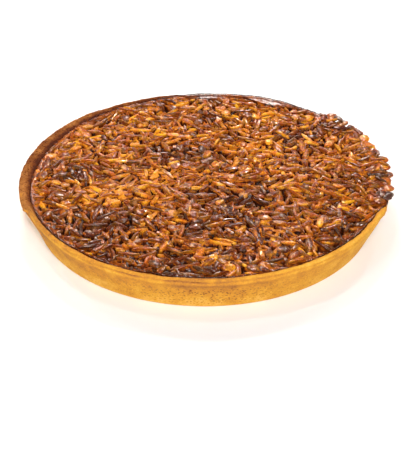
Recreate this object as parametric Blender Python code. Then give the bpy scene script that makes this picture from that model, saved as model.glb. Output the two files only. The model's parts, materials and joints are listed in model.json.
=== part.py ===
"""Almond tart: a round short-crust shell filled to the rim with caramelised almond slivers.

Metres, +Z up. The origin is the centre of the flat base, +X points to the side where the
almonds spill over the rim, and -X to the side where the rim is left broad and bare.
"""

import math
import random

import bmesh
import bpy
from mathutils import Matrix, Vector, noise
from mathutils.geometry import delaunay_2d_cdt

# Driving sizes of the crust
RIM_RADIUS = 0.140
RIM_HEIGHT = 0.030
FOOT_RADIUS = 0.128
FOOT_ROUND = 0.0025
WALL_THICKNESS = 0.0055
FLOOR_THICKNESS = 0.0045
LIP_HEIGHT = 0.0050
LIP_OVERHANG = 0.0020
LIP_START = math.radians(128)
LIP_END = math.radians(206)
BROAD_RIM_EXTRA = 0.0055
BROAD_RIM_ANGLE = math.radians(163)
BROAD_RIM_SPREAD = math.radians(33)
RIM_DIP = 0.0012
RIM_ROUND = 0.0013
RIM_UNEVENNESS = 0.0005
INNER_LEAN = 0.0012
FLOOR_ROUND = 0.0030
SEGMENTS = 108

# Driving sizes of the filling
GAP = 0.0003
FILL_BELOW_RIM = 0.0030
HEAP_RISE = 0.0042
HEAP_ANGLE = math.radians(22)
HEAP_SPREAD = math.radians(34)
HEAP_REACH = 0.022
BUMP_HEIGHT = 0.0013
BUMP_PITCH = 0.0170
BUMP_SCALE = 0.0120

# Almond slivers
SLIVER_LENGTH = 0.0150
SLIVER_WIDTH = 0.0044
SLIVER_THICKNESS = 0.0027
SLIVER_COUNT = 246
SLIVER_SINK = 0.0006
SLIVER_TILT = 0.14
SLIVER_ROLL = 0.35
SPILL_COUNT = 21
SPILL_START = math.radians(-16)
SPILL_END = math.radians(58)
SPILL_REACH = 0.0030
SPILL_CLEARANCE = 0.0005
SPILL_TURN = 1.1
SPILL_SLOPE = 0.3
GOLDEN_ANGLE = math.pi * (3 - math.sqrt(5))
SEED = 28


def turn_difference(angle, other):
    """The turn from one angle to the other, between -pi and pi."""
    return (angle - other + math.pi) % (2 * math.pi) - math.pi


def hump(angle, centre, spread):
    """A smooth rise from 0 to 1 round one direction."""
    return math.exp(-((turn_difference(angle, centre) / spread) ** 2))


def ripple(angle, turns, offset):
    """Seamless noise round the tart, from about -1 to 1."""
    return noise.noise(Vector((turns * math.cos(angle), turns * math.sin(angle), offset)))


def rim_top(angle):
    """Height of the rim, a little lower where the almonds spill over it."""
    dip = RIM_DIP * hump(angle, HEAP_ANGLE, HEAP_SPREAD)
    return RIM_HEIGHT - dip + RIM_UNEVENNESS * ripple(angle, 9, 3.1)


def lip_radius(angle):
    """Outer edge of the rim: a ragged lip, standing well out over the moulded wall on the -X side."""
    share = 0.3 + 0.3 * ripple(angle, 14, 7.7)
    if LIP_START < angle % (2 * math.pi) < LIP_END:
        share = 0.85 + 0.3 * ripple(angle, 14, 7.7)
    share += 0.6 * hump(angle, math.radians(-20), math.radians(5))
    return RIM_RADIUS - LIP_OVERHANG * (1 - min(1.0, share))


def inner_radius(angle):
    """Inner edge of the rim, which is broad on the -X side."""
    broad = BROAD_RIM_EXTRA * hump(angle, BROAD_RIM_ANGLE, BROAD_RIM_SPREAD)
    return RIM_RADIUS - WALL_THICKNESS - broad + RIM_UNEVENNESS * ripple(angle, 11, 5.3)


def crust_profile(angle):
    """(radius, height) of the crust's skin at one direction: foot, wall, rim, inner wall and floor."""
    foot = FOOT_RADIUS - FOOT_ROUND
    points = [(0.5 * foot, 0.0), (foot, 0.0)]
    for step in (1, 2, 3):
        turn = step * math.radians(27)
        points.append((foot + FOOT_ROUND * math.sin(turn), FOOT_ROUND * (1 - math.cos(turn))))
    top, lip, inner = rim_top(angle), lip_radius(angle), inner_radius(angle)
    neck = RIM_HEIGHT - LIP_HEIGHT
    points.append((RIM_RADIUS - LIP_OVERHANG, neck))
    points.append((lip, neck + 0.35 * LIP_HEIGHT))
    points.append((lip, top - RIM_ROUND))
    points.append((lip - RIM_ROUND, top - 0.15 * RIM_ROUND))
    points.append(((lip + inner) / 2, top))
    points.append((inner, top - 0.9 * RIM_ROUND))
    points.append((inner - INNER_LEAN, top - LIP_HEIGHT))
    points.append((FOOT_RADIUS - WALL_THICKNESS, FLOOR_THICKNESS + FLOOR_ROUND))
    points.append((FOOT_RADIUS - WALL_THICKNESS - FLOOR_ROUND, FLOOR_THICKNESS))
    return points


def directions():
    return [2 * math.pi * i / SEGMENTS for i in range(SEGMENTS)]


def join_rings(mesh, lower, upper):
    """A band of quads between two rings of equal count."""
    count = len(lower)
    for i in range(count):
        j = (i + 1) % count
        mesh.faces.new((lower[i], lower[j], upper[j], upper[i]))


def object_from(name, mesh):
    data = bpy.data.meshes.new(name)
    mesh.to_mesh(data)
    mesh.free()
    part = bpy.data.objects.new(name, data)
    bpy.context.scene.collection.objects.link(part)
    return part


def make_crust():
    """The pastry shell, one closed skin turned round the tart from its uneven profiles."""
    mesh = bmesh.new()
    profiles = [crust_profile(angle) for angle in directions()]
    rings = []
    for step in range(len(profiles[0])):
        ring = []
        for angle, profile in zip(directions(), profiles):
            radius, height = profile[step]
            ring.append(mesh.verts.new((radius * math.cos(angle), radius * math.sin(angle), height)))
        rings.append(ring)
    for lower, upper in zip(rings, rings[1:]):
        join_rings(mesh, lower, upper)
    mesh.faces.new(list(reversed(rings[0])))
    mesh.faces.new(rings[-1])
    return object_from("pastry_crust", mesh)


def fill_radius(angle, height):
    """Radius of the filling's side, one gap inside the crust's inner wall."""
    inside = crust_profile(angle)[-4:]
    for (upper_radius, upper), (lower_radius, lower) in zip(inside, inside[1:]):
        if height >= lower:
            share = min(1.0, (height - lower) / (upper - lower))
            return lower_radius + share * (upper_radius - lower_radius) - GAP
    return inside[-1][0] - GAP


def fill_top(x, y):
    """Height of the bumpy top of the filling."""
    angle, radius = math.atan2(y, x), math.hypot(x, y)
    from_edge = max(0.0, RIM_RADIUS - radius) / HEAP_REACH
    heap = HEAP_RISE * hump(angle, HEAP_ANGLE, HEAP_SPREAD) * math.exp(-(from_edge**2))
    bump = BUMP_HEIGHT * noise.noise(Vector((x, y, 0.0)) / BUMP_SCALE)
    return RIM_HEIGHT - FILL_BELOW_RIM + heap + bump


def top_points():
    """A jittered triangular lattice over the top, kept clear of its edge."""
    draw = random.Random(SEED)
    rows = int(RIM_RADIUS / (BUMP_PITCH * math.sqrt(0.75))) + 1
    points = []
    for row in range(-rows, rows + 1):
        for column in range(-rows - 1, rows + 2):
            x = (column + 0.5 * (row % 2) + draw.uniform(-0.22, 0.22)) * BUMP_PITCH
            y = (row * math.sqrt(0.75) + draw.uniform(-0.22, 0.22)) * BUMP_PITCH
            if math.hypot(x, y) < inner_radius(math.atan2(y, x)) - 0.6 * BUMP_PITCH:
                points.append(Vector((x, y)))
    return points


def make_filling_core():
    """The solid filling under the slivers, closed from its bumpy top to the crust's floor."""
    mesh = bmesh.new()
    rings = []
    for height in (FLOOR_THICKNESS + GAP, FLOOR_THICKNESS + FLOOR_ROUND, RIM_HEIGHT - LIP_HEIGHT):
        ring = []
        for angle in directions():
            radius = fill_radius(angle, height)
            ring.append(mesh.verts.new((radius * math.cos(angle), radius * math.sin(angle), height)))
        rings.append(ring)
    edge = []
    for angle in directions():
        widest = fill_radius(angle, RIM_HEIGHT)
        height = fill_top(widest * math.cos(angle), widest * math.sin(angle))
        radius = fill_radius(angle, height)
        edge.append(mesh.verts.new((radius * math.cos(angle), radius * math.sin(angle), height)))
    rings.append(edge)
    for lower, upper in zip(rings, rings[1:]):
        join_rings(mesh, lower, upper)
    mesh.faces.new(list(reversed(rings[0])))
    outline = [vert.co.xy.copy() for vert in edge]
    sides = [(i, (i + 1) % SEGMENTS) for i in range(SEGMENTS)]
    flat, _, faces, *_ = delaunay_2d_cdt(outline + top_points(), sides, [], 1, 1e-6)
    verts = edge + [mesh.verts.new((p.x, p.y, fill_top(p.x, p.y))) for p in flat[SEGMENTS:]]
    for face in faces:
        mesh.faces.new([verts[i] for i in face])
    return object_from("almond_filling", mesh)


def sliver_mesh(draw):
    """One almond sliver lying along X: a six-sided, pointed base under a narrow ridge."""
    length = SLIVER_LENGTH * draw.uniform(0.75, 1.2)
    width = SLIVER_WIDTH * draw.uniform(0.8, 1.2)
    thickness = SLIVER_THICKNESS * draw.uniform(0.85, 1.15)
    bend = width * draw.uniform(-0.45, 0.45)
    outline = [(-0.5, 0.0), (-0.24, -0.5), (0.22, -0.5), (0.5, 0.0), (0.26, 0.5), (-0.2, 0.5)]
    mesh = bmesh.new()
    base = []
    for along, across in outline:
        side = across * width + bend * (1 - 4 * along * along)
        base.append(mesh.verts.new((along * length, side, -0.5 * thickness)))
    top = []
    for along, across in ((-0.36, 0.08), (0.02, -0.22), (0.34, 0.0), (0.0, 0.26)):
        side = across * width + bend * (1 - 4 * along * along)
        top.append(mesh.verts.new((along * length, side, 0.5 * thickness)))
    mesh.faces.new(list(reversed(base)))
    mesh.faces.new(top)
    tip, near_left, near_right, end, far_right, far_left = base
    first, near, last, far = top
    mesh.faces.new((tip, near_left, first))
    mesh.faces.new((near_left, near, first))
    mesh.faces.new((near_left, near_right, near))
    mesh.faces.new((near_right, last, near))
    mesh.faces.new((near_right, end, last))
    mesh.faces.new((end, far_right, last))
    mesh.faces.new((far_right, far, last))
    mesh.faces.new((far_right, far_left, far))
    mesh.faces.new((far_left, first, far))
    mesh.faces.new((far_left, tip, first))
    return mesh


def place(mesh, name, collection, matrix):
    mesh.transform(matrix)
    piece = object_from(name, mesh)
    bpy.context.scene.collection.objects.unlink(piece)
    collection.objects.link(piece)
    return piece


def scatter_slivers(collection):
    """Slivers spread evenly over the top on a sunflower spiral, each turned and tilted its own way."""
    draw = random.Random(SEED + 1)
    reach = RIM_RADIUS - WALL_THICKNESS - 0.42 * SLIVER_LENGTH
    for i in range(SLIVER_COUNT):
        angle = i * GOLDEN_ANGLE
        radius = reach * math.sqrt((i + 0.5) / SLIVER_COUNT) + draw.uniform(-0.0015, 0.0015)
        radius = min(radius, inner_radius(angle) - 0.42 * SLIVER_LENGTH)
        yaw = draw.uniform(0, math.pi)
        from_edge = inner_radius(angle) - radius
        if from_edge < 0.62 * SLIVER_LENGTH:
            yaw = angle + math.pi / 2 + draw.uniform(-0.45, 0.45)
        x, y = radius * math.cos(angle), radius * math.sin(angle)
        height = fill_top(x, y) + 0.5 * SLIVER_THICKNESS - SLIVER_SINK
        pose = Matrix.Translation((x, y, height)) @ Matrix.Rotation(yaw, 4, "Z")
        pose @= Matrix.Rotation(draw.uniform(-SLIVER_TILT, SLIVER_TILT), 4, "Y")
        pose @= Matrix.Rotation(draw.uniform(-SLIVER_ROLL, SLIVER_ROLL), 4, "X")
        place(sliver_mesh(draw), f"sliver_{i}", collection, pose)


def spill_slivers(collection):
    """Slivers that lie across the rim on the +X side and slope down into the heap."""
    draw = random.Random(SEED + 2)
    for i in range(SPILL_COUNT):
        angle = SPILL_START + (SPILL_END - SPILL_START) * (i + draw.uniform(0.2, 0.8)) / SPILL_COUNT
        turn = draw.uniform(-SPILL_TURN, SPILL_TURN)
        span = SLIVER_LENGTH * math.cos(turn)
        outer = RIM_RADIUS + SPILL_REACH * draw.uniform(-0.5, 1.0)
        inner = outer - span
        rest_radius = (RIM_RADIUS + inner_radius(angle)) / 2
        rest_height = rim_top(angle) + SPILL_CLEARANCE
        inner_height = fill_top(inner * math.cos(angle), inner * math.sin(angle)) - SLIVER_SINK
        slope = min(SPILL_SLOPE, max(0.0, (rest_height - inner_height) / (rest_radius - inner)))
        radius = outer - span / 2
        height = rest_height - slope * (rest_radius - radius) + 0.58 * SLIVER_THICKNESS
        pose = Matrix.Translation((radius * math.cos(angle), radius * math.sin(angle), height))
        pose @= Matrix.Rotation(angle, 4, "Z") @ Matrix.Rotation(-math.atan(slope), 4, "Y")
        pose @= Matrix.Rotation(turn, 4, "Z")
        place(sliver_mesh(draw), f"spill_{i}", collection, pose)


def keep_largest_body(part):
    """Keeps the outer skin of the main body, so a sealed hollow is filled and a loose scrap dropped."""
    mesh = bmesh.new()
    mesh.from_mesh(part.data)
    unseen, bodies = set(mesh.verts), []
    while unseen:
        body, edge = set(), [unseen.pop()]
        while edge:
            vert = edge.pop()
            body.add(vert)
            for link in vert.link_edges:
                other = link.other_vert(vert)
                if other in unseen:
                    unseen.discard(other)
                    edge.append(other)
        bodies.append(body)
    main = max(bodies, key=len)
    bmesh.ops.delete(mesh, geom=[vert for vert in mesh.verts if vert not in main], context="VERTS")
    mesh.to_mesh(part.data)
    mesh.free()


def fuse(part, collection):
    """Joins every object of the collection to the part in one union, then removes them."""
    union = part.modifiers.new("fuse", "BOOLEAN")
    union.operation = "UNION"
    union.operand_type = "COLLECTION"
    union.collection = collection
    union.solver = "MANIFOLD"
    bpy.context.view_layer.objects.active = part
    bpy.ops.object.modifier_apply(modifier=union.name)
    for piece in list(collection.objects):
        bpy.data.objects.remove(piece)
    bpy.data.collections.remove(collection)
    keep_largest_body(part)


def paint(part, name, colour, roughness):
    material = bpy.data.materials.new(name)
    material.use_nodes = True
    surface = material.node_tree.nodes["Principled BSDF"]
    surface.inputs["Base Color"].default_value = (*colour, 1.0)
    surface.inputs["Roughness"].default_value = roughness
    surface.inputs["Metallic"].default_value = 0.0
    material.diffuse_color = (*colour, 1.0)
    part.data.materials.clear()
    part.data.materials.append(material)


def main():
    for leftover in list(bpy.data.objects):
        bpy.data.objects.remove(leftover)
    crust = make_crust()
    paint(crust, "baked short crust", (0.79, 0.37, 0.055), 0.75)
    crust.data.shade_smooth()
    crust.data.set_sharp_from_angle(angle=math.radians(35))
    filling = make_filling_core()
    almonds = bpy.data.collections.new("slivers")
    bpy.context.scene.collection.children.link(almonds)
    scatter_slivers(almonds)
    spill_slivers(almonds)
    fuse(filling, almonds)
    paint(filling, "caramelised almonds", (0.38, 0.115, 0.03), 0.25)


main()
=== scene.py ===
import json
import math

import bpy
import numpy as np
from mathutils import Matrix, Vector

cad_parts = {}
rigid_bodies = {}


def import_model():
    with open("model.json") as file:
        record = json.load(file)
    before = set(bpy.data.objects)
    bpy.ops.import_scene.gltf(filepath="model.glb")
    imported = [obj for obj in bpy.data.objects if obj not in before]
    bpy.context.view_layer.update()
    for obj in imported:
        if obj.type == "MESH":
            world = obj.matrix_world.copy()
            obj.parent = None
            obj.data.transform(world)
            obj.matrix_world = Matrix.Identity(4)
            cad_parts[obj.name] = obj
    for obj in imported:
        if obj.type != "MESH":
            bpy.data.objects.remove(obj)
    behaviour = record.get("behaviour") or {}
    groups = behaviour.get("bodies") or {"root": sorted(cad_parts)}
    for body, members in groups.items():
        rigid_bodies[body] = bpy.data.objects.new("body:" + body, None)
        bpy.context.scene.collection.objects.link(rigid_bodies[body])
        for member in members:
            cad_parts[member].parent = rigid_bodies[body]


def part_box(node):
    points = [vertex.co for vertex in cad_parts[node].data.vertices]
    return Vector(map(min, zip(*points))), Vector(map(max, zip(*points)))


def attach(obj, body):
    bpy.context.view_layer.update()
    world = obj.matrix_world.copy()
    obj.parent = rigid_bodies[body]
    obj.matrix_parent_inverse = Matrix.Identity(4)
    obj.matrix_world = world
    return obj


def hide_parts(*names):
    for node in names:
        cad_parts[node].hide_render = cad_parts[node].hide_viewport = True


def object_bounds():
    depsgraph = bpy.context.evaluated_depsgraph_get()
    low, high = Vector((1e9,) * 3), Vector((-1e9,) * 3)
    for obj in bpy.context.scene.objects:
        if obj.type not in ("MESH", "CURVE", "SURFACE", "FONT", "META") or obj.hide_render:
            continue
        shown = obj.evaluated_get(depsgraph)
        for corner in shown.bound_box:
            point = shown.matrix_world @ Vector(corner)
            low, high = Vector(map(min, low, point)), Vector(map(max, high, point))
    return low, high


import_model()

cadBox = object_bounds()
mm = 0.001

# The tart's own sizes; the highest points of the crust and of the filling come from the frame.
# Angles are in degrees round the tart: 0 is the right side, 90 the back and -90 the front
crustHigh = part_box("pastry_crust")[1]
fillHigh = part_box("almond_filling")[1]
tart = {
    "rimRadius": 140 * mm,
    "rimHeight": crustHigh[2] - 0.25 * mm,
    "rimWave": 0.35 * mm,
    "footRadius": 128 * mm,
    "footRound": 2.5 * mm,
    "wallThickness": 5.5 * mm,
    "floorThickness": 4.5 * mm,
    "lipHeight": 5 * mm,
    "lipOverhang": 2 * mm,
    "lipStart": 122,  # the full lip on the left runs from here to its ragged break
    "lipEnd": 201,
    "lipBreak": 1.9 * mm,
    "broadRim": 5.5 * mm,  # how much wider the bare rim is on the left
    "broadAngle": 163,
    "broadSpread": 33,
    "spillAngle": 22,  # where almonds lie over the rim
    "spillSpread": 34,
    "spillStart": -21,
    "spillEnd": 55,
    "spillDip": 1.2 * mm,  # how much lower the rim is there
    "crestAngle": 66,  # where the rim stands highest, at the back
    "crestSpread": 14,
    "crestRise": 2.0 * mm,
    "topLimit": fillHigh[2] - 0.2 * mm,
    "reachLimit": cadBox[1][0],
}
print("tart frame: rim %.1f mm high" % (tart["rimHeight"] / mm))


# Soft lattice noise from about -1 to 1; size is the length of one ripple
def softNoise(x, y, z, size, seed):
    p = np.stack(np.broadcast_arrays(x, y, z), axis=-1) / size
    cell = np.floor(p).astype(np.int64)
    f = p - cell
    f = f * f * (3 - 2 * f)
    total = np.zeros(p.shape[:-1])
    for corner in range(8):  # a fixed chance value for each corner of the cell, weighed by nearness
        step = np.array([corner & 1, corner >> 1 & 1, corner >> 2 & 1])
        k = cell + step
        code = (k[..., 0] * 73856093) ^ (k[..., 1] * 19349663)
        code = code ^ (k[..., 2] * 83492791) ^ (seed * 2654435761)
        code = (code & 0xFFFFFFFF) ^ (code >> 13 & 0x7FFFF)
        code = code * 1274126177 & 0xFFFFFFFF
        value = ((code ^ (code >> 16)) & 0xFFFF) / 32767.5 - 1
        weight = np.prod(np.where(step == 1, f, 1 - f), axis=-1)
        total += weight * value
    return total


# Three layers of the noise, each half as long and half as strong as the one before
def layeredNoise(x, y, z, size, seed):
    total = 0
    for i in range(3):
        total = total + softNoise(x, y, z, size / 2**i, seed + i) / 2**i
    return total / 1.6


def flatNoise(x, y, size, seed):
    return softNoise(x, y, 0 * x, size, seed)


def ringNoise(angle, size, seed):
    r = tart["rimRadius"]
    return layeredNoise(r * np.cos(angle), r * np.sin(angle), 0 * angle, size, seed)


# 1 at the centre, falling away on both sides; centre and spread in degrees
def hump(angle, centre, spread):
    turn = (angle - math.radians(centre) + math.pi) % (2 * math.pi) - math.pi
    return np.exp(-((turn / math.radians(spread)) ** 2))


# 0 below low, 1 above high, and an even rise between them
def smooth(value, low, high):
    t = np.clip((value - low) / (high - low), 0, 1)
    return t * t * (3 - 2 * t)


def rimTop(angle):
    dip = tart["spillDip"] * hump(angle, tart["spillAngle"], tart["spillSpread"])
    dip -= tart["crestRise"] * hump(angle, tart["crestAngle"], tart["crestSpread"])
    return tart["rimHeight"] - dip + tart["rimWave"] * ringNoise(angle, 16 * mm, 3)


def lipRadius(angle):
    degrees = np.degrees(angle) % 360
    left = smooth(degrees, tart["lipStart"], tart["lipStart"] + 12)
    left = left * (1 - smooth(degrees, tart["lipEnd"] - 1, tart["lipEnd"]))
    # How far the lip stands out: a little all round, and most on the left and where the spill starts
    share = 0.18 + 0.3 * ringNoise(angle, 9 * mm, 7)
    share = share + 0.75 * left + 0.4 * left * ringNoise(angle, 2.6 * mm, 8)
    share = share + 0.75 * hump(angle, tart["spillStart"], 4)
    return tart["rimRadius"] - tart["lipOverhang"] * (1 - np.clip(share, 0, 1)) - brokenLip(angle)


# The lip on the left ends in a ragged break, and the edge stands back after it
def brokenLip(angle):
    degrees = np.degrees(angle) % 360
    end = tart["lipEnd"]
    return tart["lipBreak"] * smooth(degrees, end - 1, end) * (1 - smooth(degrees, end + 11, end + 33))


# 1 where caramel and almonds ran over the rim, 0 elsewhere
def spillOver(angle):
    degrees = (np.degrees(angle) + 180) % 360 - 180
    start, end = tart["spillStart"], tart["spillEnd"]
    return smooth(degrees, start - 4, start + 4) * (1 - smooth(degrees, end - 7, end + 5))


def innerRadius(angle):
    broad = tart["broadRim"] * hump(angle, tart["broadAngle"], tart["broadSpread"])
    return tart["rimRadius"] - tart["wallThickness"] - broad + 0.5 * mm * ringNoise(angle, 12 * mm, 5)


def linear(hexCode):  # sRGB to the linear colour that sockets take
    values = [int(hexCode[i:i + 2], 16) / 255 for i in (0, 2, 4)]
    return tuple(v / 12.92 if v <= 0.04045 else ((v + 0.055) / 1.055) ** 2.4 for v in values) + (1.0,)


def addNode(tree, kind, settings=None, links=None):
    node = tree.nodes.new(kind)
    for name, value in (settings or {}).items():
        if name == "stops":  # places and colours along a colour ramp
            elements = node.color_ramp.elements
            while len(elements) < len(value):
                elements.new(0.5)
            for element, (place, colour) in zip(elements, value):
                element.position = place
                element.color = linear(colour)
        elif isinstance(name, int) or name in node.inputs:
            node.inputs[name].default_value = value
        else:
            setattr(node, name, value)
    for name, source in (links or {}).items():
        tree.links.new(source, node.inputs[name])
    return node


def newMaterial(name):
    material = bpy.data.materials.new(name)
    material.use_nodes = True
    tree = material.node_tree
    return material, tree, tree.nodes["Principled BSDF"]


# value + amount * (noise - 0.5)
def shifted(tree, value, noise, amount):
    scaled = addNode(tree, "ShaderNodeMath", {"operation": "MULTIPLY_ADD", 1: amount, 2: -0.5 * amount},
                     {0: noise})
    return addNode(tree, "ShaderNodeMath", {"operation": "ADD"}, {0: value, 1: scaled.outputs[0]}).outputs[0]


pastryLook = {
    "stops": [(0.0, "eab656"), (0.14, "dea238"), (0.34, "ca8832"), (0.52, "a96f37"),
              (0.69, "88501f"), (0.84, "6c3410"), (1.0, "431a05")],
    "grain": 1.3 * mm,
    "pore": 2.0 * mm,
    "blotch": 14 * mm,
    "grainTone": 0.44,  # how strongly each pattern browns the crust; the pores are painted darker, as shade in the pits
    "blotchTone": 0.5,
    "poreShade": 0.36,
    "roughness": 0.75,
    "shine": 0.08,
}


def bakedPastry():
    # Short crust against a tin: smooth golden and matt, fine pores painted dark as shade in the pits, browner
    # where the oven reached it, with painted shade and a painted highlight
    look = pastryLook
    material, tree, surface = newMaterial("baked short crust")
    place = {"Vector": addNode(tree, "ShaderNodeTexCoord").outputs["Object"]}
    browned = addNode(tree, "ShaderNodeAttribute", {"attribute_name": "browned"}).outputs["Fac"]
    grain = addNode(tree, "ShaderNodeTexNoise", {"Scale": 1 / look["grain"], "Detail": 4.0}, place)
    blotch = addNode(tree, "ShaderNodeTexNoise", {"Scale": 1 / look["blotch"], "Detail": 3.0}, place)
    pores = addNode(tree, "ShaderNodeTexVoronoi", {"Scale": 1 / look["pore"], "Randomness": 1.0}, place)
    pit = addNode(tree, "ShaderNodeMapRange",
                  {"From Min": 0.22, "From Max": 0.42, "To Min": 1.0, "To Max": 0.0},
                  {"Value": pores.outputs["Distance"]}).outputs["Result"]
    porous = addNode(tree, "ShaderNodeAttribute", {"attribute_name": "porous"}).outputs["Fac"]
    pit = addNode(tree, "ShaderNodeMath", {"operation": "MULTIPLY"}, {0: pit, 1: porous}).outputs[0]
    total = shifted(tree, browned, grain.outputs["Fac"], look["grainTone"])
    total = shifted(tree, total, blotch.outputs["Fac"], look["blotchTone"])
    # The pores are painted darker, as shade in the tiny pits
    deep = addNode(tree, "ShaderNodeMath", {"operation": "MULTIPLY_ADD", 1: look["poreShade"]},
                   {0: pit, 2: total}).outputs[0]
    baked = addNode(tree, "ShaderNodeValToRGB", {"stops": look["stops"]}, {"Fac": deep})
    tree.links.new(baked.outputs["Color"], surface.inputs["Base Color"])
    height = addNode(tree, "ShaderNodeMath", {"operation": "MULTIPLY_ADD", 1: -0.8},
                     {0: pit, 2: grain.outputs["Fac"]}).outputs[0]
    bump = addNode(tree, "ShaderNodeBump", {"Strength": 0.5, "Distance": 0.35 * mm}, {"Height": height})
    tree.links.new(bump.outputs["Normal"], surface.inputs["Normal"])
    surface.inputs["Roughness"].default_value = look["roughness"]
    surface.inputs["Specular IOR Level"].default_value = look["shine"]
    return material


almondLook = {
    "golden": [(0.0, "f4b022"), (0.2, "d48a14"), (0.42, "a66414"),
               (0.62, "7a4814"), (0.82, "56300f"), (1.0, "3c1e08")],
    "toffee": [(0.0, "ea901a"), (0.2, "c6640c"), (0.42, "9b440a"),
               (0.62, "742f09"), (0.82, "561f06"), (1.0, "3c1303")],
    "ripple": 2.0 * mm,
    "grit": 0.9 * mm,
    "hueSpread": 6 * mm,
    "rippleTone": 0.7,  # how strongly each pattern darkens or lightens a piece
    "streakTone": 0.9,
    "gritTone": 0.9,
    "roughness": 0.4,
    "ior": 1.48,
    "shine": 0.1,
    "glaze": 1.0,
    "glazeRoughness": 0.05,
    "glazeIor": 1.33,
}


def caramelisedAlmond(name, look):
    # Blanched almond slivers boiled in butter and sugar, then baked: amber under a clear hard glaze
    material, tree, surface = newMaterial(name)
    place = {"Vector": addNode(tree, "ShaderNodeTexCoord").outputs["Object"]}
    tone = addNode(tree, "ShaderNodeAttribute", {"attribute_name": "tone"}).outputs["Fac"]
    ripple = addNode(tree, "ShaderNodeTexNoise", {"Scale": 1 / look["ripple"], "Detail": 3.0}, place)
    grit = addNode(tree, "ShaderNodeTexNoise", {"Scale": 1 / look["grit"], "Detail": 2.0}, place)
    hue = addNode(tree, "ShaderNodeTexNoise", {"Scale": 1 / look["hueSpread"], "Detail": 2.0}, place)
    # Along and across each piece, so the streaks follow the grain of the nut
    grain = addNode(tree, "ShaderNodeAttribute", {"attribute_name": "grain"}).outputs["Vector"]
    streak = addNode(tree, "ShaderNodeTexNoise", {"Scale": 1.0, "Detail": 2.0}, {"Vector": grain})
    total = shifted(tree, tone, ripple.outputs["Fac"], look["rippleTone"])
    total = shifted(tree, total, streak.outputs["Fac"], look["streakTone"])
    total = shifted(tree, total, grit.outputs["Fac"], look["gritTone"])
    share = addNode(tree, "ShaderNodeMapRange", {"From Min": 0.43, "From Max": 0.6},
                    {"Value": hue.outputs["Fac"]}).outputs["Result"]
    toffee = addNode(tree, "ShaderNodeValToRGB", {"stops": look["toffee"]}, {"Fac": total}).outputs["Color"]
    golden = addNode(tree, "ShaderNodeValToRGB", {"stops": look["golden"]}, {"Fac": total}).outputs["Color"]
    colour = addNode(tree, "ShaderNodeMix", {"data_type": "RGBA"}, {"Factor": share, 6: toffee, 7: golden})
    tree.links.new(colour.outputs[2], surface.inputs["Base Color"])
    smoother = shifted(tree, ripple.outputs["Fac"], streak.outputs["Fac"], 0.6)
    height = shifted(tree, smoother, grit.outputs["Fac"], 0.7)
    bump = addNode(tree, "ShaderNodeBump", {"Strength": 0.8, "Distance": 0.7 * mm}, {"Height": height})
    tree.links.new(bump.outputs["Normal"], surface.inputs["Normal"])
    # The hard caramel over it is smoother than the nut, so it glints in streaks
    glass = addNode(tree, "ShaderNodeBump", {"Strength": 0.4, "Distance": 0.4 * mm}, {"Height": smoother})
    tree.links.new(glass.outputs["Normal"], surface.inputs["Coat Normal"])
    surface.inputs["Roughness"].default_value = look["roughness"]
    surface.inputs["IOR"].default_value = look["ior"]
    surface.inputs["Specular IOR Level"].default_value = look["shine"]
    surface.inputs["Coat Weight"].default_value = look["glaze"]
    surface.inputs["Coat Roughness"].default_value = look["glazeRoughness"]
    surface.inputs["Coat IOR"].default_value = look["glazeIor"]
    return material


caramelLook = {
    "stops": [(0.0, "d88a1c"), (0.25, "ac5a12"), (0.5, "74340c"), (0.75, "421705"), (1.0, "200a02")],
    "ripple": 3.0 * mm,
    "grit": 1.1 * mm,
    "rippleTone": 0.9,
    "gritTone": 0.5,
    "roughness": 0.12,
    "ior": 1.49,
    "shine": 0.14,
    "relief": 0.6,
    "glassyShine": 0.5,  # where it lies bare along the back rim
    "glassyRelief": 0.3,
}


def setCaramel(name, shine, relief):
    # Sugar, butter and honey boiled dark: a brown film between the almonds, glassy where it lies bare
    look = caramelLook
    material, tree, surface = newMaterial(name)
    place = {"Vector": addNode(tree, "ShaderNodeTexCoord").outputs["Object"]}
    depth = addNode(tree, "ShaderNodeAttribute", {"attribute_name": "tone"}).outputs["Fac"]
    ripple = addNode(tree, "ShaderNodeTexNoise", {"Scale": 1 / look["ripple"], "Detail": 3.0}, place)
    grit = addNode(tree, "ShaderNodeTexNoise", {"Scale": 1 / look["grit"], "Detail": 2.0}, place)
    total = shifted(tree, depth, ripple.outputs["Fac"], look["rippleTone"])
    total = shifted(tree, total, grit.outputs["Fac"], look["gritTone"])
    boiled = addNode(tree, "ShaderNodeValToRGB", {"stops": look["stops"]}, {"Fac": total})
    tree.links.new(boiled.outputs["Color"], surface.inputs["Base Color"])
    height = shifted(tree, ripple.outputs["Fac"], grit.outputs["Fac"], 0.6)
    bump = addNode(tree, "ShaderNodeBump", {"Strength": relief, "Distance": 0.5 * mm}, {"Height": height})
    tree.links.new(bump.outputs["Normal"], surface.inputs["Normal"])
    surface.inputs["Roughness"].default_value = look["roughness"]
    surface.inputs["IOR"].default_value = look["ior"]
    surface.inputs["Specular IOR Level"].default_value = shine
    return material


def meshObject(name, vertices, faces, material):
    mesh = bpy.data.meshes.new(name)
    mesh.from_pydata(vertices, [], faces)
    mesh.materials.append(material)
    mesh.polygons.foreach_set("use_smooth", [True] * len(mesh.polygons))
    mesh.update()
    piece = bpy.data.objects.new(name, mesh)
    bpy.context.scene.collection.objects.link(piece)
    return piece


def addValues(piece, name, values):
    layer = piece.data.attributes.new(name, "FLOAT", "POINT")
    layer.data.foreach_set("value", np.asarray(values, dtype=np.float32).ravel())


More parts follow.
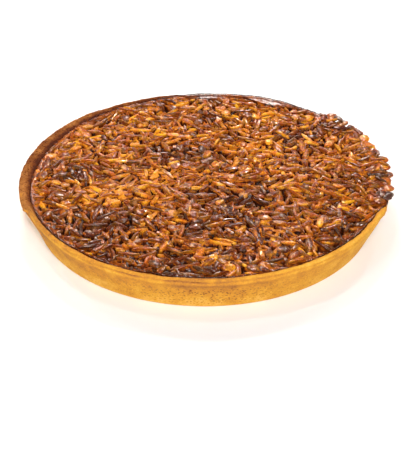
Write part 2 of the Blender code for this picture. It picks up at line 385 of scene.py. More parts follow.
# A closed shell from rings of points, with a fan to a point of its own at each end
def ringShell(name, x, y, z, ends, material, turned=False):
    rings, around = z.shape
    points = np.vstack([np.stack([x, y, z], axis=-1).reshape(-1, 3), ends])
    i = np.arange(around)
    j = (i + 1) % around
    last = (rings - 1) * around
    end = np.full(around, rings * around)
    blocks = []
    for p in range(0, last, around):
        q = p + around
        blocks.append(np.stack([p + i, p + j, q + j, q + i], axis=-1))
    blocks.append(np.stack([end, j, i], axis=-1))
    blocks.append(np.stack([end + 1, last + i, last + j], axis=-1))
    faces = []
    for block in blocks:
        if turned:
            block = np.roll(block[:, ::-1], 1, axis=1)
        faces += [tuple(face) for face in block.tolist()]
    return meshObject(name, points.tolist(), faces, material)


crust = {
    "around": 960,
    "wallSteps": 26,
    "lipSteps": 9,
    "rimSteps": 10,
    "crumble": 0.42 * mm,
    "wallWave": 0.22 * mm,
    "wallGrain": 0.07 * mm,
    "rimLift": 0.3 * mm,
    "foldDepth": 0.6 * mm,
    "foldWidth": 0.65 * mm,
    "foldBelowRim": 2.3 * mm,
    "foldSpread": 62,
    "dentAngle": -111,  # the fold is deepest here
    # How dark each part is, from 0 for golden to 1 for nearly burnt; besides browning this holds painted
    # shade and a painted highlight
    "wallTone": 0.13,
    "wallShade": {"all": 0.09, "left": 0.18, "right": -0.11, "front": 0.09},
    "underLipShade": {"all": 0.04, "front": 0.13},
    "rimTone": {"all": 0.05, "left": 0.44, "back": 0.5, "front": 0.12},
    "innerShadeAndStain": 0.34,
    "hiddenTone": 0.9,
    "foldShade": 0.2,
    "paintedEdgeLight": 0.16,  # a painted highlight: how much paler the outer edge of the rim is at the front
}


def along(start, end, steps):
    t = np.linspace(0, 1, steps, endpoint=False)[:, None, None]
    return start[None] * (1 - t) + end[None] * t


def bakeCrust(material):
    angle = np.linspace(0, 2 * math.pi, crust["around"], endpoint=False)
    top, lip, inner = rimTop(angle), lipRadius(angle), innerRadius(angle)
    flat = np.zeros_like(angle)
    foot = tart["footRadius"] - tart["footRound"]
    neck = tart["rimHeight"] - tart["lipHeight"]

    def pair(radius, height):
        return np.stack([radius + flat, height + flat], axis=-1)

    # The profile, from under the foot up the wall, over the rim and down the inside to the floor
    rows = [pair(0.5 * foot, 0), pair(foot, 0)]
    for turn in np.radians(np.linspace(12, 72, 6)):
        rows.append(pair(foot + tart["footRound"] * math.sin(turn), tart["footRound"] * (1 - math.cos(turn))))
    wallStart, wallEnd = rows.pop(), pair(tart["rimRadius"] - tart["lipOverhang"] - brokenLip(angle), neck)
    outerLow, outerHigh = pair(lip, neck + 0.3 * tart["lipHeight"]), pair(lip, top - 1.2 * mm)
    shoulder, crest = pair(lip - 1.2 * mm, top - 0.15 * mm), pair((lip + inner) / 2, top)
    innerEdge, innerLow = pair(inner, top - 1.1 * mm), pair(inner - 1.2 * mm, top - 5 * mm)
    floorEdge = pair(tart["footRadius"] - tart["wallThickness"], tart["floorThickness"] + 3 * mm)
    floorLow = floorEdge - pair(3 * mm, 3 * mm)
    rows += list(along(wallStart, wallEnd, crust["wallSteps"]))
    rows += list(along(wallEnd, outerLow, 4)) + list(along(outerLow, outerHigh, crust["lipSteps"]))
    rows += list(along(outerHigh, shoulder, 3)) + list(along(shoulder, crest, crust["rimSteps"] // 2))
    rows += list(along(crest, innerEdge, crust["rimSteps"] // 2)) + list(along(innerEdge, innerLow, 6))
    rows += list(along(innerLow, floorEdge, 5)) + [floorEdge, floorLow]
    profile = np.array(rows)
    radius, height = profile[..., 0], profile[..., 1]
    x, y = radius * np.cos(angle), radius * np.sin(angle)

    # Crumbly relief: strong at the lip and rim, faint on the wall that lay against the tin
    up = height / tart["rimHeight"]
    rimness = smooth(height, neck - 1 * mm, neck + 1.5 * mm)
    outside = (np.arange(len(rows)) < len(rows) - 12)[:, None]
    above = smooth(height, 0.2 * mm, 2.5 * mm) * outside
    crumble = crust["crumble"] * layeredNoise(x, y, height, 2 * mm, 21) * rimness
    wave = crust["wallWave"] * layeredNoise(x, y, height, 11 * mm, 25) * above
    wave += crust["wallGrain"] * softNoise(x, y, height, 1.5 * mm, 28) * above
    # A fold of dough pressed back under the rim leaves a shallow groove along the front
    facing = hump(angle, -90, crust["foldSpread"])
    fold = facing * (0.35 + 0.9 * ringNoise(angle, 14 * mm, 35)) + 1.1 * hump(angle, crust["dentAngle"], 4)
    fallen = top - (crust["foldBelowRim"] + 0.8 * mm * ringNoise(angle, 30 * mm, 36))
    groove = np.exp(-(((height - fallen) / crust["foldWidth"]) ** 2))
    groove = np.clip(fold, 0, 1.3) * groove * (radius > lip - 1.5 * mm)
    wave -= crust["foldDepth"] * groove
    radius = radius + np.minimum(crumble + wave, tart["rimRadius"] - 0.35 * mm - radius)
    lift = np.where(outside, crust["rimLift"] * layeredNoise(x, y, 0 * height, 3 * mm, 31), 0)
    height = height + lift * smooth(height, tart["rimHeight"] - 2.5 * mm, tart["rimHeight"] - 1 * mm)
    x = np.clip(radius * np.cos(angle), cadBox[0][0], cadBox[1][0])
    y = np.clip(radius * np.sin(angle), cadBox[0][1], cadBox[1][1])

    piece = ringShell("pastryCrust", x, y, height, [[0, 0, 0], [0, 0, tart["floorThickness"]]], material)

    # Browning with painted shade and a painted highlight: deep browning on the rim, dark on the inner wall,
    # painted shade making it tan under the lip at the front, golden on the wall
    sweep = np.broadcast_to(angle, height.shape)
    front, left = hump(sweep, -90, 22), hump(sweep, 165, 52)
    back, right = hump(sweep, 88, 42), hump(sweep, -25, 25)
    mottled = (0.12 - 0.06 * right) * layeredNoise(x, y, height, 5 * mm, 41)
    # Painted shade: a darker band under the lip, most at the front, and a darker upper wall, most on the left
    # and at the front; the wall on the right is made paler, as painted light
    tone = crust["underLipShade"]
    paintedWallShade = smooth(height, 20.5 * mm, 24.5 * mm) * (tone["all"] + tone["front"] * front)
    tone = crust["wallShade"]
    below = smooth(height, 6 * mm, 22 * mm) * (1 - smooth(height, neck - 1 * mm, neck + 1.5 * mm))
    paintedWallShade += below * (tone["all"] + tone["left"] * hump(sweep, 212, 26) + tone["right"] * right)
    paintedWallShade += tone["front"] * below * hump(sweep, -82, 30)
    tone = crust["rimTone"]
    rimBrown = smooth(height, neck + 1 * mm, tart["rimHeight"] - 0.4 * mm)
    rimBrown = rimBrown * (tone["all"] + tone["left"] * left + tone["back"] * back + tone["front"] * front)
    # The inner edge of the rim is darker, most on the left: painted shade where it dips inward, and crust
    # stained by the caramel
    across = (radius - inner) / np.maximum(lip - inner, 1 * mm)
    inward = np.where(height > neck, crust["innerShadeAndStain"] * smooth(1 - across, 0.5, 1.0) * (0.2 + left), 0)
    hidden = np.where(outside, 0, crust["hiddenTone"])
    # A painted highlight: the outer top edge of the rim is made paler at the front, where it catches the
    # light
    edge = smooth(height, tart["rimHeight"] - 1.6 * mm, tart["rimHeight"] - 0.6 * mm)
    edge = edge * smooth(radius, lip - 2.4 * mm, lip - 0.8 * mm)
    pale = crust["paintedEdgeLight"] * edge * hump(sweep, -72, 48)
    # The fold's groove is painted darker, as shade in the crease
    browned = crust["wallTone"] + paintedWallShade + rimBrown + crust["foldShade"] * groove - pale + inward
    browned = browned + mottled + hidden - 0.05 * smooth(0.16 - up, 0, 0.16)
    porous = smooth(height, 2 * mm, 6 * mm) * (1 - smooth(height, 19 * mm, 24 * mm)) * (0.35 + 0.65 * front)
    porous = porous + 0.75 * smooth(height, neck, neck + 2 * mm) * np.clip(left + 0.5 * back, 0, 1)
    for name, values in (("browned", browned), ("porous", porous)):
        addValues(piece, name, np.concatenate([np.clip(values, 0, 1).ravel(), [0.5, 0.9]]))
    return piece


pastry = bakedPastry()
crustPiece = bakeCrust(pastry)
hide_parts("pastry_crust")
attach(crustPiece, "root")
print("crust baked: %d faces" % len(crustPiece.data.polygons))

# The almonds are laid one by one on a height grid of the tart's top
heap = {
    "seed": 28,
    "grid": 0.5 * mm,
    "bedBelowRim": 3.6 * mm,
    "bedWave": 0.9 * mm,
    "topBelowRim": 0.6 * mm,
    "topWave": 0.7 * mm,
    "spillRise": 3.4 * mm,
    "spillWidth": 22 * mm,
    "tries": 8,  # trial places for each piece
    "clumps": 28,
    "clumpTries": 30,
    "clumpRadii": ((132, 141), (127, 132)),  # in mm, for every other clump in turn
    "overRim": 260,  # slivers tried over the rim at the end
    "overRimRadii": (126 * mm, 140 * mm),
    "sink": 0.4 * mm,
    "press": 0.85,  # how far pieces are pressed into each other; 1 only touches
    "lean": 0.17,  # how unevenly they lie, as a slope
    "steepest": 0.75,
    "proud": 1.2 * mm,  # how far one may stand above the heap's level
    "tones": (0.12, 0.3, 0.45, 0.58, 0.7),  # from golden to dark, and the share of each
    "toneShares": (0.12, 0.2, 0.33, 0.27, 0.08),
    "toneSpread": 0.06,
    "clumpTone": -0.1,
}
# Sizes are in mm; roll is how far pieces turn on their long axis
kinds = {
    "slivers": dict(count=2250, length=(9, 19), width=(2.3, 4), thick=(1.3, 2.2), shapes=10, roll=0.5),
    "slices": dict(count=420, length=(7.5, 12), width=(4.8, 7), thick=(1, 1.5), shapes=5, roll=0.25),
    "chips": dict(count=900, length=(3.5, 7.5), width=(2.2, 3.8), thick=(1.2, 2), shapes=6, roll=0.6),
    "clumps": dict(count=0, length=(9.5, 12.5), width=(7, 9), thick=(3, 4.2), shapes=8, roll=0.12),
}
extent = tart["rimRadius"] + 3 * mm
cells = int(2 * extent / heap["grid"]) + 1
axis = np.linspace(-extent, extent, cells)
gridX, gridY = np.meshgrid(axis, axis, indexing="ij")
gridAngle, gridRadius = np.arctan2(gridY, gridX), np.hypot(gridX, gridY)


# How high the heap may come: level with the rim, and higher where it spills
def heapTarget(x, y):
    angle, radius = np.arctan2(y, x), np.hypot(x, y)
    spill = hump(angle, tart["spillAngle"], tart["spillSpread"])
    fromEdge = np.clip(tart["rimRadius"] - radius, 0, None) / heap["spillWidth"]
    rise = heap["spillRise"] * spill * np.exp(-(fromEdge**2))
    wave = heap["topWave"] * flatNoise(x, y, 17 * mm, 51)
    return np.minimum(tart["rimHeight"] - heap["topBelowRim"] + rise + wave, tart["topLimit"] - 1.3 * mm)


# Caramel alone lies against the back rim in two places; this is how wide it shows
def bareWidth(angle):
    return (4.5 * hump(angle, 88, 9) + 7 * hump(angle, tart["crestAngle"], 8)) * mm


def heapReach(angle):
    # How far out an almond may lie: a little onto the rim
    spill = spillOver(angle)
    edge = innerRadius(angle) + (0.8 + 1.2 * ringNoise(angle, 11 * mm, 61)) * mm - bareWidth(angle)
    return edge + spill * (2.5 + 2 * ringNoise(angle, 9 * mm, 62)) * mm


def rimReach(angle):
    # The clumps and the last almonds hang over the rim, furthest at the back right
    far = tart["reachLimit"] + (2.5 * hump(angle, 40, 17) - 0.4) * mm
    return far + 0.6 * mm * ringNoise(angle, 9 * mm, 62)


# Caramel on the rim: lumps where the heap spills over it, and a thin flat skin along the back
def rimLumps(x, y, angle):
    lumps = 0.5 + 0.7 * flatNoise(x, y, 9 * mm, 65)
    return spillOver(angle) * np.clip(lumps, 0.2, 1.1) * mm


def backSkin(angle):
    return hump(angle, 76, 26)


def startSurface():
    base = tart["rimHeight"] - heap["bedBelowRim"] + heap["bedWave"] * flatNoise(gridX, gridY, 9 * mm, 71)
    rim = rimTop(gridAngle) + 0.15 * mm + rimLumps(gridX, gridY, gridAngle)
    return np.where(gridRadius > innerRadius(gridAngle), rim, base)


emptyShell = startSurface()
surface = emptyShell.copy()
target = heapTarget(gridX, gridY)
ringAngles = np.linspace(-math.pi, math.pi, 1441)  # every quarter of a degree
heapTable, rimTable = heapReach(ringAngles), rimReach(ringAngles)


def gridIndex(x, y):
    i = np.clip(((x + extent) / heap["grid"] + 0.5).astype(int), 0, cells - 1)
    j = np.clip(((y + extent) / heap["grid"] + 0.5).astype(int), 0, cells - 1)
    return i, j


# For several trial places at once: the slope, roll and height at which a piece comes to rest
def restOn(x, y, yaw, lean, tip, length, width, ground, reach, limit):
    s = np.linspace(-0.48, 0.48, 9)[None, :, None] * length  # nine places along it, three across
    t = np.array([-0.36, 0, 0.36])[None, None] * width
    c, n = np.cos(yaw)[:, None, None], np.sin(yaw)[:, None, None]
    px = x[:, None, None] + s * c - t * n
    py = y[:, None, None] + s * n + t * c
    edge = np.interp(np.arctan2(py, px), ringAngles, reach)
    fits = (np.hypot(px, py) < edge).all(axis=(1, 2))
    i, j = gridIndex(px, py)
    under = ground[i, j]
    slope = (under[:, 6:].max(axis=(1, 2)) - under[:, :3].max(axis=(1, 2))) / (0.7 * length) + lean
    slope = np.clip(slope, -limit, limit)
    roll = (under[..., 2].max(axis=1) - under[..., 0].max(axis=1)) / (0.72 * width)
    roll = np.clip(roll, -limit, limit) + tip
    over = under - slope[:, None, None] * s - roll[:, None, None] * t
    base = np.quantile(over.reshape(len(x), -1), heap["press"], axis=1) - heap["sink"]
    i, j = gridIndex(x, y)
    proud = base - target[i, j] + 0.35 * np.abs(slope) * length + 0.35 * np.abs(roll) * width
    return np.where(fits, proud, 1), slope, roll, base


# A laid piece becomes part of the surface that the next ones rest on
def settle(x, y, yaw, length, width, thick, slope, roll, base):
    half = int(0.5 * length / heap["grid"]) + 2
    i = int((x + extent) / heap["grid"] + 0.5)
    j = int((y + extent) / heap["grid"] + 0.5)
    window = (slice(max(i - half, 0), i + half + 1), slice(max(j - half, 0), j + half + 1))
    dx, dy = gridX[window] - x, gridY[window] - y
    s = dx * math.cos(yaw) + dy * math.sin(yaw)
    t = -dx * math.sin(yaw) + dy * math.cos(yaw)
    covered = (np.abs(2 * s / length) ** 2.4 + np.abs(2 * t / width) ** 2.4) < 1
    height = base + slope * s + roll * t + thick * (1 - 0.25 * (2 * t / width) ** 2)
    surface[window] = np.where(covered, np.maximum(surface[window], height), surface[window])


def layAlmonds():
    draw = np.random.default_rng(heap["seed"])
    # The clumps first, then the heap in mixed order, and last the slivers that hang over the rim
    pending = ["clumps"] * heap["clumps"]
    for name, kind in kinds.items():
        pending += [name] * kind["count"]
    spilled = len(pending)
    order = list(range(heap["clumps"])) + list(heap["clumps"] + draw.permutation(spilled - heap["clumps"]))
    pending += ["slivers"] * heap["overRim"]
    order += list(range(spilled, len(pending)))
    spillEnd = tart["spillEnd"] - 11
    spillLength = spillEnd - tart["spillStart"]
    laid = []
    for index in order:
        kind = kinds[pending[index]]
        length, width, thick = (draw.uniform(*kind[key]) * mm for key in ("length", "width", "thick"))
        clump, last = index < heap["clumps"], index >= spilled
        tries = heap["clumpTries"] if clump else heap["tries"]
        angle, yaw = draw.uniform(0, 2 * math.pi, (2, tries))
        radius = tart["rimRadius"] * np.sqrt(draw.uniform(0, 1, tries))
        ground, reach, limit, allowed = surface, heapTable, heap["steepest"], heap["proud"]
        if clump:  # rounded clumps in a row over the rim
            angle = tart["spillStart"] + spillLength * (index + 0.5) / heap["clumps"]
            angle = np.radians(angle + draw.normal(0, 0.8, tries))
            radius = draw.uniform(*heap["clumpRadii"][index % 2], tries) * mm
            yaw = angle + math.pi / 2 + draw.normal(0, 0.5, tries)
            ground, reach, limit, allowed = emptyShell, rimTable - 0.9 * mm, 0.12, 4 * mm
        if last:
            angle = np.radians(draw.uniform(tart["spillStart"], spillEnd, tries))
            radius = draw.uniform(*heap["overRimRadii"], tries)
            yaw = angle + draw.normal(0, 1.2, tries)
            reach, allowed, limit = rimTable - 1.5 * mm, heap["proud"] + 0.8 * mm, 0.4
            thick *= 0.8
        lean = draw.normal(0, heap["lean"], tries) * (0.3 if clump else 1)
        tip = draw.normal(0, kind["roll"], tries)
        x, y = radius * np.cos(angle), radius * np.sin(angle)
        proud, slope, roll, base = restOn(x, y, yaw, lean, tip, length, width, ground, reach, limit)
        # A clump takes its outermost trial place that fits, anything else the lowest
        k = int(np.argmax(radius - 1000 * proud * (proud > 0.5))) if clump else int(np.argmin(proud))
        tilted = base[k] + 0.5 * abs(slope[k]) * length + 0.3 * abs(roll[k]) * width
        if clump:
            thick = min(thick, max((tart["topLimit"] - 0.9 * mm - tilted) / 1.13, 1.8 * mm))
        over, highest = proud[k] + thick, tilted + 1.12 * thick
        if over > allowed or highest > tart["topLimit"]:
            continue
        settle(x[k], y[k], yaw[k], length, width, thick, slope[k], roll[k], base[k])
        middle = base[k] + 0.5 * thick
        laid.append((pending[index], x[k], y[k], middle, yaw[k], slope[k], roll[k],
                     length, width, thick, over))
    return laid


almonds = layAlmonds()
print("almonds laid: %d" % len(almonds))


# One piece of almond along X, 1 long, 1 wide and 1 thick: a cut stick or slice with chamfered edges
def almondShape(name, draw, rings, fullness, bluntness, bend):
    corner = [(0.5, -0.25), (0.5, 0.15), (0.3, 0.5), (-0.3, 0.46),
              (-0.5, 0.1), (-0.5, -0.3), (-0.3, -0.5), (0.34, -0.5)]
    sides = len(corner)
    blunt = draw.uniform(*bluntness, 2)
    full = draw.uniform(*fullness, 2)
    curve, twist = draw.uniform(-bend, bend, 2), draw.uniform(-0.25, 0.25)
    vertices, faces = [], []
    for k in range(rings):
        u = -1 + 2 * (k + 0.25) / (rings - 0.5)
        end, power = (blunt[0], full[0]) if u < 0 else (blunt[1], full[1])
        wide = (1 - abs(u) ** power * (1 - end)) * (1 + 0.12 * draw.uniform(-1, 1))
        deep = (1 - abs(u) ** (power + 1) * (1 - end) * 0.6) * (1 + 0.12 * draw.uniform(-1, 1))
        shift = 0.1 * draw.uniform(-1, 1)
        for across, over in corner:
            y = across * wide + curve[0] * (1 - u * u) + shift
            z = over * deep + curve[1] * (1 - u * u) + twist * u * across
            vertices.append((0.5 * u, y, z))
    for k in range(rings - 1):
        for q in range(sides):
            a, b = k * sides + q, k * sides + (q + 1) % sides
            faces.append((a, a + sides, b + sides, b))
    for k, u in ((0, -1), (rings - 1, 1)):
        middle = np.array(vertices[k * sides:(k + 1) * sides]).mean(axis=0)
        vertices.append((0.5 * u, middle[1], middle[2]))
    start, stop = rings * sides, rings * sides + 1
    for q in range(sides):
        n = (q + 1) % sides
        faces.append((start, q, n))
        faces.append((stop, (rings - 1) * sides + n, (rings - 1) * sides + q))
    mesh = bpy.data.meshes.new(name)
    mesh.from_pydata(vertices, [], faces)
    # Flat map of the piece, length by girth, that each copy later gets a square of
    layer = mesh.uv_layers.new(name="OFBake")
    for loop in mesh.loops:
        index = loop.vertex_index
        if index < start:
            layer.data[loop.index].uv = ((index // sides + 1) / (rings + 1), (index % sides) / sides)
        else:
            layer.data[loop.index].uv = (0.02 if index == start else 0.98, 0.5)
    mesh.polygons.foreach_set("use_smooth", [True] * len(mesh.polygons))
    mesh.update()
    return mesh


forms = {
    # rings, how full the outline stays, how blunt the ends are, bend
    "slivers": (5, (1.6, 5.0), (0.05, 0.8), 0.26),
    "slices": (5, (2.0, 2.6), (0.25, 0.45), 0.12),
    "chips": (3, (1.5, 5.0), (0.2, 0.9), 0.15),
    "clumps": (7, (2.0, 3.0), (0.3, 0.55), 0.12),
}


def shapesFor(name, kind, draw):
    folder = bpy.data.collections.new(name + "Shapes")
    for k in range(kind["shapes"]):
        mesh = almondShape("%s%02d" % (name, k), draw, *forms[name])
        folder.objects.link(bpy.data.objects.new(mesh.name, mesh))
    return folder


# Geometry Nodes: put one of the shapes on every laid point, turned and stretched as it was laid
def strewTree():
    tree = bpy.data.node_groups.new("strew almonds", "GeometryNodeTree")
    face = tree.interface
    face.new_socket("Laid points", in_out="INPUT", socket_type="NodeSocketGeometry")
    face.new_socket("Almond shapes", in_out="INPUT", socket_type="NodeSocketCollection")
    face.new_socket("Plumpness", in_out="INPUT", socket_type="NodeSocketFloat").default_value = 1.0
    face.new_socket("Glaze", in_out="INPUT", socket_type="NodeSocketMaterial")
    face.new_socket("Almonds", in_out="OUTPUT", socket_type="NodeSocketGeometry")
    enter = addNode(tree, "NodeGroupInput")
    read = {}
    for name, kind in (("turn", "FLOAT_VECTOR"), ("stretch", "FLOAT_VECTOR"), ("shape", "INT")):
        read[name] = addNode(tree, "GeometryNodeInputNamedAttribute", {"data_type": kind, "Name": name})
    shapes = addNode(tree, "GeometryNodeCollectionInfo", {"Separate Children": True, "Reset Children": True},
                     {"Collection": enter.outputs["Almond shapes"]})
    turn = addNode(tree, "FunctionNodeEulerToRotation", links={"Euler": read["turn"].outputs["Attribute"]})
    plump = addNode(tree, "ShaderNodeCombineXYZ", {"X": 1.0, "Y": 1.0}, {"Z": enter.outputs["Plumpness"]})
    size = addNode(tree, "ShaderNodeVectorMath", {"operation": "MULTIPLY"},
                   {0: read["stretch"].outputs["Attribute"], 1: plump.outputs["Vector"]})
    strewn = addNode(tree, "GeometryNodeInstanceOnPoints", {"Pick Instance": True}, {
        "Points": enter.outputs["Laid points"], "Instance": shapes.outputs["Instances"],
        "Instance Index": read["shape"].outputs["Attribute"], "Rotation": turn.outputs["Rotation"],
        "Scale": size.outputs["Vector"]})
    real = addNode(tree, "GeometryNodeRealizeInstances", links={"Geometry": strewn.outputs["Instances"]})
    glazed = addNode(tree, "GeometryNodeSetMaterial",
                     links={"Geometry": real.outputs["Geometry"], "Material": enter.outputs["Glaze"]})
    addNode(tree, "NodeGroupOutput", links={"Almonds": glazed.outputs["Geometry"]})
    return tree


def socketId(tree, name):
    for item in tree.interface.items_tree:
        if item.name == name and item.in_out == "INPUT":
            return item.identifier


def toneOf(x, y, over, draw):
    # Baked darkest where pieces stand proud and near the rim; paler and more golden down in the heap, paler
    # toward the back right and darker toward the front
    radius, angle = np.hypot(x, y), np.arctan2(y, x)
    patch = layeredNoise(x, y, 0 * x, 34 * mm, 81)
    edge = smooth(radius, 118 * mm, 134 * mm)
    golden = 0.12 * hump(angle, 50, 45) * smooth(radius, 30 * mm, 90 * mm)
    near = 0.1 * smooth(-y, 25 * mm, 95 * mm)
    tone = near + 0.01 + draw.choice(heap["tones"], size=len(x), p=heap["toneShares"])
    tone = tone + draw.normal(0, heap["toneSpread"], len(x))
    return tone + 0.32 * patch + 0.12 * edge - golden + 0.05 * over / mm


def strewAlmonds(name, kind, tree, material, draw):
    rows = [row for row in almonds if row[0] == name]
    x, y, z, yaw, slope, roll, length, width, thick, over = np.array([row[1:] for row in rows]).T
    points = meshObject(name + "Points", np.stack([x, y, z], axis=-1).tolist(), [], material)
    turn = []
    for a, b, c in zip(yaw, slope, roll):
        sloped = Matrix.Rotation(a, 3, "Z") @ Matrix.Rotation(-math.atan(b), 3, "Y")
        turn.append(list((sloped @ Matrix.Rotation(math.atan(c), 3, "X")).to_euler()))
    turn = np.array(turn)
    stretch = np.stack([length * np.sqrt(1 + slope**2), width, thick], axis=-1)
    for label, values in (("turn", turn), ("stretch", stretch)):
        layer = points.data.attributes.new(label, "FLOAT_VECTOR", "POINT")
        layer.data.foreach_set("vector", values.astype(np.float32).ravel())
    layer = points.data.attributes.new("shape", "INT", "POINT")
    layer.data.foreach_set("value", draw.integers(0, kind["shapes"], len(rows)).astype(np.int32))
    layer = points.data.attributes.new("cell", "INT", "POINT")
    layer.data.foreach_set("value", np.arange(len(rows), dtype=np.int32))
    addValues(points, "tone", toneOf(x, y, over, draw) + (heap["clumpTone"] if name == "clumps" else 0))

    folder = shapesFor(name, kind, draw)
    modifier = points.modifiers.new("strew", "NODES")
    modifier.node_group = tree
    modifier[socketId(tree, "Almond shapes")] = folder
    modifier[socketId(tree, "Plumpness")] = 1.0
    modifier[socketId(tree, "Glaze")] = material
    bpy.context.view_layer.update()
    ready = points.evaluated_get(bpy.context.evaluated_depsgraph_get())
    mesh = bpy.data.meshes.new_from_object(ready)
    mesh.name = name
    mesh.materials.clear()
    mesh.materials.append(material)
    mesh.set_sharp_from_angle(angle=math.radians(48))
    piece = bpy.data.objects.new("almond" + name.capitalize(), mesh)
    bpy.context.scene.collection.objects.link(piece)
    giveCells(mesh, len(rows))
    for shape in list(folder.objects):
        bpy.data.objects.remove(shape)
    bpy.data.collections.remove(folder)
    bpy.data.objects.remove(points)
    return piece


def giveCells(mesh, count):
    # Every piece gets its own square of the map, so its colours can be painted on it
    columns = math.ceil(math.sqrt(count))
    cell = np.empty(len(mesh.vertices), np.int32)
    mesh.attributes["cell"].data.foreach_get("value", cell)
    corner = np.empty(len(mesh.loops), np.int32)
    mesh.loops.foreach_get("vertex_index", corner)
    layer = mesh.uv_layers["OFBake"]
    uv = np.empty(2 * len(mesh.loops), np.float32)
    layer.data.foreach_get("uv", uv)
    uv = uv.reshape(-1, 2)
    own = cell[corner]
    grain = np.zeros((len(mesh.vertices), 3), np.float32)
    grain[corner] = np.stack([1.6 * uv[:, 0], 7 * np.abs(uv[:, 1] - 0.5), 3.7 * own], axis=-1)
    streaks = mesh.attributes.new("grain", "FLOAT_VECTOR", "POINT")
    streaks.data.foreach_set("vector", grain.ravel())
    uv = (0.04 + 0.92 * uv + np.stack([own % columns, own // columns], axis=-1)) / columns
    layer.data.foreach_set("uv", uv.astype(np.float32).ravel())


tree = strewTree()
glazed = caramelisedAlmond("almonds in hard caramel", almondLook)
almondPieces = []
for number, (name, kind) in enumerate(kinds.items()):
    draw = np.random.default_rng(heap["seed"] + 10 + number)
    piece = strewAlmonds(name, kind, tree, glazed, draw)
    almondPieces.append(piece)
    laid = sum(almond[0] == name for almond in almonds)
    print("%s: %d pieces, %d faces" % (name, laid, len(piece.data.polygons)))

film = {
    "spacing": 1.02 * mm,
    "around": 680,
    "belowTops": 0.22 * mm,  # how far the tops stand out of the caramel
    "pit": 3.2 * mm,  # how far it sinks where no almond lies near
    "flood": 0.85 * mm,  # how far it stands higher or lower from patch to patch
    "rimBand": 7 * mm,
    "gap": 0.35 * mm,  # between the film and the inside of the crust
    "edgeTone": 0.3,
}


def blurred(values, passes):
    for _ in range(passes):
        padded = np.pad(values, 1, mode="edge")
        sides = padded[:-2, 1:-1] + padded[2:, 1:-1] + padded[1:-1, :-2] + padded[1:-1, 2:]
        values = (sides + 4 * values) / 8
    return values


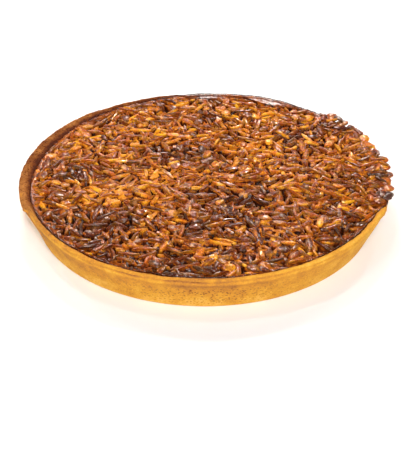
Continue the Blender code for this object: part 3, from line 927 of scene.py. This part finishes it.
def pourCaramel(material, glassy):
    inside = gridRadius < innerRadius(gridAngle)
    tops = np.where(inside, surface, np.minimum(surface, target))
    broad, near = blurred(tops, 60), blurred(tops, 6)
    climb = 1 - smooth(innerRadius(gridAngle) - gridRadius, 0, film["rimBand"])
    hollow = np.clip(broad - near, 0, None) * (1 - climb)
    level = broad - film["belowTops"] - film["pit"] * smooth(hollow, 0.45 * mm, 1.1 * mm)
    level += 0.25 * mm * flatNoise(gridX, gridY, 3.5 * mm, 91)
    flood = flatNoise(gridX, gridY, 11 * mm, 92)
    level += film["flood"] * flood
    # Against the crust the film climbs to just under the rim, and over it where the heap spills
    meet = rimTop(gridAngle) - 0.8 * mm + 0.5 * mm * flatNoise(gridX, gridY, 6 * mm, 93)
    level = level * (1 - climb) + climb * np.maximum(level, meet)
    inward, width = innerRadius(gridAngle) - gridRadius, bareWidth(gridAngle)
    bare = smooth(width + 1.5 * mm - inward, 0, 2 * mm) * smooth(width, 0.8 * mm, 2.5 * mm)
    shelf = rimTop(gridAngle) - 0.3 * mm - 0.25 * np.clip(inward, 0, None)
    level = level * (1 - bare) + bare * np.maximum(level, shelf)
    over = smooth(gridRadius - innerRadius(gridAngle), -2 * mm, 1 * mm)
    over *= np.maximum(spillOver(gridAngle), smooth(backSkin(gridAngle), 0.1, 0.4))
    skin = np.maximum(rimLumps(gridX, gridY, gridAngle), 0.3 * mm)
    level = level * (1 - over) + over * (rimTop(gridAngle) + skin)
    level = np.minimum(level, tart["topLimit"] - 0.5 * mm)

    rings, gap = int(tart["rimRadius"] / film["spacing"]), film["gap"]
    angle = np.linspace(0, 2 * math.pi, film["around"], endpoint=False)
    inner, spill, top, lip = innerRadius(angle), spillOver(angle), rimTop(angle), lipRadius(angle)
    brim = lip + (0.1 + 1.3 * ringNoise(angle, 8 * mm, 66) + 0.8 * ringNoise(angle, 2.6 * mm, 67)) * mm
    brim = np.minimum(brim, tart["reachLimit"] - 0.3 * mm)
    outer = inner - gap + spill * (brim - inner)
    outer = np.maximum(outer, inner - gap + smooth(backSkin(angle), 0.2, 0.7) * (lip - 1.6 * mm - inner))
    radius = np.linspace(0.004, 1, rings)[:, None] * outer
    x, y = radius * np.cos(angle), radius * np.sin(angle)
    z = level[gridIndex(x, y)]
    # Under the edge, back over the rim, and down the inside of the crust to a flat bottom
    floor = tart["floorThickness"] + 0.3 * mm
    foot = tart["footRadius"] - tart["wallThickness"] - gap
    under = np.minimum(z[-1] - 0.4 * mm, top + (0.1 - 0.9 * spill) * mm)
    low = np.minimum(under, top - 1.5 * mm)
    shape = [(outer, under), (inner - 0.4 * mm, low), (inner - 1.6 * mm, top - 5 * mm)]
    shape += [(foot + 0 * angle, floor + 3 * mm + 0 * angle), (foot - 3 * mm + 0 * angle, floor + 0 * angle)]
    for r, height in shape:
        x = np.vstack([x, r * np.cos(angle)])
        y = np.vstack([y, r * np.sin(angle)])
        z = np.vstack([z, height])
    ends = [[0, 0, level[cells // 2, cells // 2]], [0, 0, floor]]
    piece = ringShell("caramelBed", x, y, z, ends, material, turned=True)

    # Darker toward the rim and in the same broad patches as the almonds, with painted shade in the pits
    # between them
    patch = layeredNoise(gridX, gridY, 0 * gridX, 34 * mm, 81)
    dark = 0.3 + 0.3 * patch - 0.1 * flood + 1.0 * smooth(hollow, 0.15 * mm, 0.8 * mm)
    edge = smooth(np.hypot(x, y), 125 * mm, 133 * mm)
    dark = dark[gridIndex(x, y)] + (0.1 + 0.3 * backSkin(np.arctan2(y, x))) * edge
    dark[rings - 2:] += film["edgeTone"]  # the edge that runs over the rim is baked darkest
    addValues(piece, "tone", np.concatenate([np.clip(dark, 0, 1).ravel(), [0.5, 0.5]]))
    piece.data.materials.append(glassy)
    shown = (bare[gridIndex(x, y)] > 0.5) & (np.arange(len(x)) < rings - 1)[:, None]
    slots = np.zeros(len(piece.data.polygons), np.int32)
    slots[:shown[:-1].size] = shown[:-1].ravel()
    piece.data.polygons.foreach_set("material_index", slots)
    return piece


dull = setCaramel("set caramel", caramelLook["shine"], caramelLook["relief"])
glassy = setCaramel("bare glassy caramel", caramelLook["glassyShine"], caramelLook["glassyRelief"])
caramelPiece = pourCaramel(dull, glassy)
print("caramel poured: %d faces" % len(caramelPiece.data.polygons))
for piece in almondPieces + [caramelPiece]:
    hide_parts("almond_filling")
    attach(piece, "root")

studio = {
    "floor": "fafdff",
    "floorHalf": 1.4,
    "walls": "fffaf6",
    "sky": 0.055,
    "horizon": 1.05,
    # Each light: place, then width and height, and power
    "key": ((0.25, -3.0, 3.0), (1.2, 0.8), 157.0),
    "left": ((-2.6, -1.6, 1.2), (2.0, 1.5), 15.0),
    "right": ((2.6, -1.6, 1.2), (2.0, 1.5), 10.0),
    "paneColour": "ffeee4",
    "panes": [  # small windows behind the tart, for the glints on the caramel
        ((0.12, 1.25, 0.64), (0.18, 0.05), 3.6),
        ((-0.05, 0.82, 1.12), (0.26, 0.12), 4.8),
        ((-0.8, 0.75, 0.85), (0.18, 0.05), 3.2),
        ((0.6, 0.9, 1.0), (0.18, 0.05), 3.2),
        ((-0.2, 0.1, 1.4), (0.18, 0.05), 2.6),
        ((-0.3, 1.15, 0.92), (0.2, 0.07), 4.0),
    ],
}


def layFloor():
    material, tree, surface = newMaterial("pale table")
    surface.inputs["Base Color"].default_value = linear(studio["floor"])
    surface.inputs["Roughness"].default_value = 0.9
    half = studio["floorHalf"]
    corners = [(-half, -half, 0), (half, -half, 0), (half, half, 0), (-half, half, 0)]
    floor = meshObject("floor", corners, [(0, 1, 2, 3)], material)


def softLight(name, place, aim, size, power, colour="ffffff"):
    data = bpy.data.lights.new(name, "AREA")
    data.shape = "RECTANGLE"
    data.size, data.size_y = size
    data.energy = power
    data.color = linear(colour)[:3]
    lamp = bpy.data.objects.new(name, data)
    lamp.location = place
    lamp.rotation_euler = (Vector(aim) - Vector(place)).to_track_quat("-Z", "Y").to_euler()
    bpy.context.scene.collection.objects.link(lamp)


layFloor()
# White walls round the table and a dim ceiling, so the caramel stays deep in colour
world = bpy.data.worlds.new("white room")
world.use_nodes = True
room = world.node_tree
toward = addNode(room, "ShaderNodeTexCoord").outputs["Generated"]
up = addNode(room, "ShaderNodeSeparateXYZ", links={"Vector": toward}).outputs["Z"]
fade = addNode(room, "ShaderNodeMapRange", {
    "From Min": 0.02, "From Max": 0.14, "To Min": studio["horizon"], "To Max": studio["sky"]}, {"Value": up})
room.links.new(fade.outputs["Result"], room.nodes["Background"].inputs["Strength"])
room.nodes["Background"].inputs["Color"].default_value = linear(studio["walls"])
bpy.context.scene.world = world
for name in ("key", "left", "right"):
    place, size, power = studio[name]
    softLight(name, place, (0, 0, 0.02), size, power)
for place, size, power in studio["panes"]:
    softLight("pane", place, (0, 0, 0.03), size, power, studio["paneColour"])
print("room lit")

view = {
    "place": (-0.0017, -0.7093, 0.4428),
    "tip": math.radians(56.97),
    "lens": 85.8,
    "sensor": 36,
}
camera = bpy.data.objects.new("camera", bpy.data.cameras.new("camera"))
camera.data.lens = view["lens"]
camera.data.sensor_width = view["sensor"]
camera.location = view["place"]
camera.rotation_euler = (view["tip"], 0, 0)
bpy.context.scene.collection.objects.link(camera)
bpy.context.scene.camera = camera
bpy.context.scene.view_settings.view_transform = "Standard"
